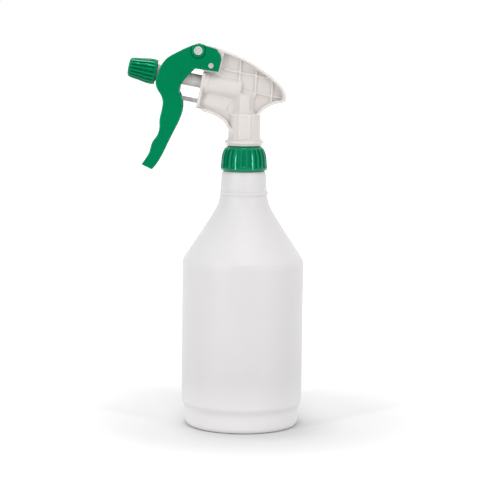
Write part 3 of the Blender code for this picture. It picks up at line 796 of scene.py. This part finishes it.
def make_trigger():
    front, rear = trigger_front(), trigger_rear()
    body = soft_prism("trigger_lever", front + rear + trigger_arm(), CHEEK_OUTER, 1.1)
    pivot = at(PIVOT[0], 0, PIVOT[1]) @ ALONG_Y
    for low, high in each_side(9.95, 12.0):
        cut(body, rod("moat", 5.7, low, high, pivot))
    join(body, rod("boss", 4.7, -11.6, 11.6, pivot))
    inner = [point for point in offset(front, -TRIGGER_WALL) if point[0] < -37.5 and point[1] > 191.5]
    behind = [(-71.3, 191.2), (-64.4, 187.6), (-52.0, 182.0), (-10.0, 200.0), (-10.0, 280.0)]
    cut(body, prism("channel", [(-37.5, 280.0), *inner, *behind], -CHEEK_INNER, CHEEK_INNER))
    window = [(-70.0, 247.6), (-48.0, 247.6), (-48.0, 268.2), (-70.0, 268.2)]
    cut(body, prism("window", window, -6.6, 6.6))
    for low, high in each_side(CHEEK_INNER - 1, TRUNNION_END + 0.3):
        cut(body, prism("trunnion slot", slot(*barrel_travel(), TRUNNION_RADIUS + 0.3), low, high))
    for low, high in each_side(10.9, 12.0):
        cut(body, rod("seat", PIVOT_HEAD_RADIUS + 0.2, low, high, pivot))
    cut(body, rod("pivot hole", PIVOT_PIN_RADIUS + 0.2, -12, 12, pivot))
    stop = at(STOP_PIN[0], 0, STOP_PIN[1]) @ ALONG_Y
    cut(body, rod("stop hole", STOP_PIN_RADIUS + 0.1, -12, 12, stop))
    soften(body, 0.3, 4, 0.5)
    for low, high in each_side(10.0, 11.1):
        bring_in(body, prism("ridge", trunnion_ridge(), low, high))
    return body


# Pins, pump and nozzle


def headed_pin(name, centre, radius, head_radius, head_low, head_high):
    """A pin with a dished head on each end, round a small raised centre."""
    dish = head_high - 0.6
    half = rounded([
        (0, dish + 0.15), (head_radius * 0.22, dish + 0.15, 0.1), (head_radius * 0.3, dish, 0.1),
        (head_radius * 0.58, dish, 0.1), (head_radius * 0.68, head_high, 0.15),
        (head_radius, head_high, 0.25), (head_radius, head_low, 0.1), (radius, head_low, 0.1),
    ], 0.2)
    mirrored = [(r, -h) for r, h in reversed(half)]
    return turned(name, half + mirrored, 64, at(centre[0], 0, centre[1]) @ ALONG_Y)


def make_plunger():
    profile = [
        (1.4, 23.4), (3.0, 23.4), (3.0, 19.4), (PLUNGER_RADIUS, 19.4), (PLUNGER_RADIUS, -16.0),
        (6.1, -16.3), (6.1, -18.4), (5.0, -18.6), (4.6, -33.0), (2.3, -33.0), (2.3, -25.2), (1.4, -24.0),
    ]
    return turned("plunger_stem", rounded(profile, 0.25, 3, True), 96, ALONG_BARREL)


def make_yoke():
    """The clamp on the plunger that carries the drive trunnions and the vent rod."""
    low, high = -4.6, 0.2
    ring = [(6.8, high), (6.8, low), (PLUNGER_RADIUS + 0.2, low), (PLUNGER_RADIUS + 0.2, high)]
    body = turned("yoke", rounded(ring, 0.4, 3, True), 64, ALONG_BARREL)
    leg = [(-3.0, -5.6), (0.6, -5.6), (0.6, -17.0), (-3.0, -17.0)]
    join(body, prism("leg", rounded(leg, 0.8, 4, True), -3.2, 3.2, BARREL))
    for inner_end, outer_end in each_side(5.6, 8.6):
        join(body, rod("cheek", 3.0, inner_end, outer_end, BARREL @ ALONG_Y))
    for inner_end, outer_end in each_side(8.0, TRUNNION_END):
        join(body, rod("trunnion", TRUNNION_RADIUS, inner_end, outer_end, BARREL @ ALONG_Y))
    return cut(body, rod("rod bore", VENT_ROD_RADIUS + 0.1, -1.8, 6, BARREL @ at(0, 0, VENT_DROP) @ ALONG_X))


def make_vent_rod():
    profile = [
        (0, 20.8), (1.0, 20.8), (1.0, 17.0), (VENT_ROD_RADIUS, 17.0), (VENT_ROD_RADIUS, -1.5), (0, -1.5),
    ]
    return turned("vent_stem", rounded(profile, 0.2, 3), 48, BARREL @ at(0, 0, VENT_DROP) @ ALONG_X)


def make_return_spring():
    """The coiled spring behind the piston."""
    spring = coil("return_coil", 4.7, 0.5, SPRING_FRONT, SPRING_END, 7, ALONG_BARREL)
    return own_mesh(spring)


def make_gland():
    low, high = PLATE_FRONT + 0.3, PLATE_FRONT + 3.4
    profile = [(5.0, high), (6.1, high), (6.1, low), (5.0, low)]
    return turned("barrel_gland", rounded(profile, 0.3, 3, True), 64, ALONG_BARREL)


def make_nozzle_cap():
    outside = rounded([
        (6.9, NOZZLE_REAR, 0.3), (8.9, NOZZLE_REAR, 0.5), (9.05, -20.3, 0.5), (9.05, -22.5), (8.95, -25.0),
        (8.4, -28.0), (7.9, -30.5), (7.6, -33.5), (7.2, -36.2), (6.7, -38.0, 0.9), (5.4, NOZZLE_FRONT, 0.9),
        (2.4, NOZZLE_FRONT, 0.3), (1.9, -38.2, 0.3), (0.5, -38.0, 0.1), (0.5, -37.0, 0),
    ], 1.0)
    inside = [(4.2, -37.0), (5.4, -36.2), (5.6, -19.8), (6.9, -19.3)]

    def ribs(angle, radius, height):
        if radius < 6.0 or (radius, height) in inside or height > -20.2:
            return 0.0
        tall = ease(-height, 20.3, 20.9) * (1 - ease(-height, 35.8, 38.4))
        return -NOZZLE_GROOVE * tall * groove_shape(angle, NOZZLE_RIBS, 0.2, 0.35)

    return turned("nozzle_shell", outside + inside, NOZZLE_RIBS * 16, ALONG_BARREL, wave=ribs)


# Studio


def set_camera():
    data = bpy.data.cameras.new("camera")
    data.lens = CAMERA_LENS
    data.sensor_width = 36.0
    camera = bpy.data.objects.new("camera", data)
    tilt = Matrix.Rotation(math.pi / 2 - CAMERA_DIP, 4, "X") @ Matrix.Rotation(CAMERA_ROLL, 4, "Z")
    camera.matrix_world = Matrix.Translation(Vector(CAMERA_PLACE) * MM) @ tilt
    bpy.context.scene.collection.objects.link(camera)
    bpy.context.scene.camera = camera


def soft_box(name, azimuth, height, distance, width, tall, power):
    """An area light that faces the bottle. Azimuth 0 is the camera's side and 90 is +X."""
    data = bpy.data.lights.new(name, "AREA")
    data.shape = "RECTANGLE"
    data.size = width
    data.size_y = tall
    data.energy = power
    light = bpy.data.objects.new(name, data)
    turn = math.radians(azimuth)
    place = Vector((distance * math.sin(turn), -distance * math.cos(turn), height))
    light.location = place
    light.rotation_euler = (Vector((0, 0, 0.15)) - place).to_track_quat("-Z", "Y").to_euler()
    bpy.context.scene.collection.objects.link(light)


def ramp(tree, value, *stops):
    """A colour ramp through (position, brightness) stops."""
    node = tree.nodes.new("ShaderNodeValToRGB")
    node.color_ramp.interpolation = "EASE"
    while len(node.color_ramp.elements) < len(stops):
        node.color_ramp.elements.new(0.5)
    for element, (position, brightness) in zip(node.color_ramp.elements, stops):
        element.position = position
        element.color = (brightness, brightness, brightness, 1.0)
    tree.links.new(value, node.inputs["Fac"])
    return node.outputs["Color"]


def distance_from(tree, centre, reach):
    """How far the shaded point lies from centre on the floor, as a share of reach in metres."""
    place = tree.nodes.new("ShaderNodeTexCoord").outputs["Object"]
    away = tree.nodes.new("ShaderNodeVectorMath")
    away.operation = "DISTANCE"
    away.inputs[1].default_value = centre
    tree.links.new(place, away.inputs[0])
    share = tree.nodes.new("ShaderNodeMapRange")
    share.inputs["From Max"].default_value = reach
    tree.links.new(away.outputs["Value"], share.inputs["Value"])
    return share.outputs["Result"]


def floor_paint():
    """White card with a painted shadow that darkens it softly round the bottle; it also shines a little far
    off, behind the object.
    """
    material = bpy.data.materials.new("card_white")
    material.use_nodes = True
    tree = material.node_tree
    shader = tree.nodes["Principled BSDF"]
    shader.inputs["Roughness"].default_value = 0.9
    shader.inputs["Specular IOR Level"].default_value = 0.0
    # Painted shadow: the card's colour darkens from 0.74 at 170 mm to 0.6 within about 40 mm of a point by
    # the bottle's axis.
    near = distance_from(tree, (0.008, 0.012, 0.0), 0.17)
    tree.links.new(ramp(tree, near, (0.24, 0.6), (0.48, 0.635), (1.0, 0.74)), shader.inputs["Base Color"])
    far = tree.nodes.new("ShaderNodeMapRange")
    far.inputs["From Max"].default_value = 1.0
    depth = tree.nodes.new("ShaderNodeSeparateXYZ")
    tree.links.new(tree.nodes.new("ShaderNodeTexCoord").outputs["Object"], depth.inputs["Vector"])
    tree.links.new(depth.outputs["Y"], far.inputs["Value"])
    glow = ramp(tree, far.outputs["Result"], (0.12, 0.0), (0.8, 0.6))
    tree.links.new(glow, shader.inputs["Emission Strength"])
    shader.inputs["Emission Color"].default_value = (1.0, 1.0, 1.0, 1.0)
    return material


def set_world():
    """White all round, dimmer behind the camera."""
    world = bpy.data.worlds.new("studio")
    world.use_nodes = True
    tree = world.node_tree
    heading = tree.nodes.new("ShaderNodeSeparateXYZ")
    tree.links.new(tree.nodes.new("ShaderNodeTexCoord").outputs["Generated"], heading.inputs["Vector"])
    share = tree.nodes.new("ShaderNodeMapRange")
    share.inputs["From Min"].default_value = -1.0
    tree.links.new(heading.outputs["Y"], share.inputs["Value"])
    background = tree.nodes["Background"]
    tree.links.new(ramp(tree, share.outputs["Result"], (0.1, 0.38), (0.5, 1.0)), background.inputs["Color"])
    background.inputs["Strength"].default_value = 1.0
    bpy.context.scene.world = world


def set_studio():
    far = FLOOR_REACH
    corners = [(-far, -far, 0), (far, -far, 0), (far, far, 0), (-far, far, 0)]
    floor = make_object("floor", corners, [[0, 1, 2, 3]])
    floor.data.materials.append(floor_paint())
    set_world()
    bpy.context.scene.view_settings.view_transform = "Standard"
    for box in SOFT_BOXES:
        soft_box(*box)


def make_looks():
    """The materials, by the record's material slots, and the collar's glossier green, which has painted
    light: its colour is set lighter than the trigger's green of the same plastic.
    """
    milky = moulded("milky_hdpe", lit(228, 226, 227), 0.42, 0.008, 420.0, 0.00004, glow=0.2)
    # Painted light: the bottle's colour is up to a quarter lighter at the floor, fading out 42 mm up.
    paint_light_on_foot(milky, 42.0, 1.25)
    green_sheen = (0.02, 1.0, 0.7)
    green = moulded("green_pp", lit(2, 126, 78), 0.17, 0.04, 900.0, 0.00001, gloss=0.45, sheen=green_sheen)
    # Painted light: the collar's copy of the green plastic is set lighter than the trigger's, besides its
    # lacquer.
    polished_painted_light = moulded(
        "green_pp_polished", lit(2, 134, 90), 0.15, 0.04, 900.0, 0.00001,
        gloss=0.5, sheen=green_sheen, lacquer=0.25,
    )
    looks = {
        "bottle_hdpe": milky,
        "green_plastic": green,
        "housing_white": moulded("white_pp", lit(229, 223, 220), 0.36, 0.015, 900.0, 0.00003, glow=0.4),
        "stem_grey": moulded("stem_pp", lit(216, 211, 208), 0.35, 0.03, 700.0, 0.00002, flow=(0.3, 1, 1)),
        "pin_white": moulded("pin_pom", lit(206, 206, 204), 0.33, 0.01, 900.0, 0.00002),
        "dip_tube_natural": moulded(
            "tube_pe", lit(228, 228, 224), 0.3, 0.02, 500.0, 0.00002, glow=0.2, flow=(1, 1, 0.1),
        ),
        "seal_rubber": moulded("seal_rubber", linear(60, 60, 60), 0.7, 0.1, 1200.0, 0.00002),
        "spring_steel": sprung_steel(),
    }
    return looks, polished_painted_light


def make_pieces(looks, polished_painted_light):
    green, white, stem = looks["green_plastic"], looks["housing_white"], looks["stem_grey"]
    pin, steel = looks["pin_white"], looks["spring_steel"]
    finish(make_bottle(), looks["bottle_hdpe"], "bottle", "bottle_hdpe", "bottle")
    finish(make_collar(), polished_painted_light, "collar", "green_plastic", "collar")
    finish(make_housing(), white, "head", "housing_white", "housing", crease=0)
    finish(make_trigger(), green, "trigger", "green_plastic", "trigger", crease=0)
    pivot = headed_pin("pivot_rivet", PIVOT, PIVOT_PIN_RADIUS, PIVOT_HEAD_RADIUS, 11.0, 11.9)
    finish(pivot, pin, "head", "pin_white", "pivot_pin")
    stop = headed_pin("stop_rivet", STOP_PIN, STOP_PIN_RADIUS, STOP_HEAD_RADIUS, 10.85, 11.4)
    finish(stop, pin, "trigger", "pin_white", "stop_pin")
    finish(make_plunger(), stem, "plunger", "stem_grey", "plunger")
    finish(make_yoke(), stem, "plunger", "stem_grey", "plunger_yoke")
    finish(make_vent_rod(), stem, "plunger", "stem_grey", "vent_rod")
    finish(make_gland(), white, "head", "housing_white", "cylinder_gland")
    finish(make_return_spring(), steel, "head", "spring_steel", "return_spring")
    finish(make_nozzle_cap(), green, "nozzle", "green_plastic", "nozzle_cap")


def dress_nodes(looks):
    """Gives every CAD node the material of its slot."""
    for part in frame["record"]["subparts"]:
        materials = frame["nodes"][part["node"]].data.materials
        materials.clear()
        materials.append(looks[part["material_slot"]])


set_camera()
set_studio()
looks, polished_painted_light = make_looks()
make_pieces(looks, polished_painted_light)
dress_nodes(looks)
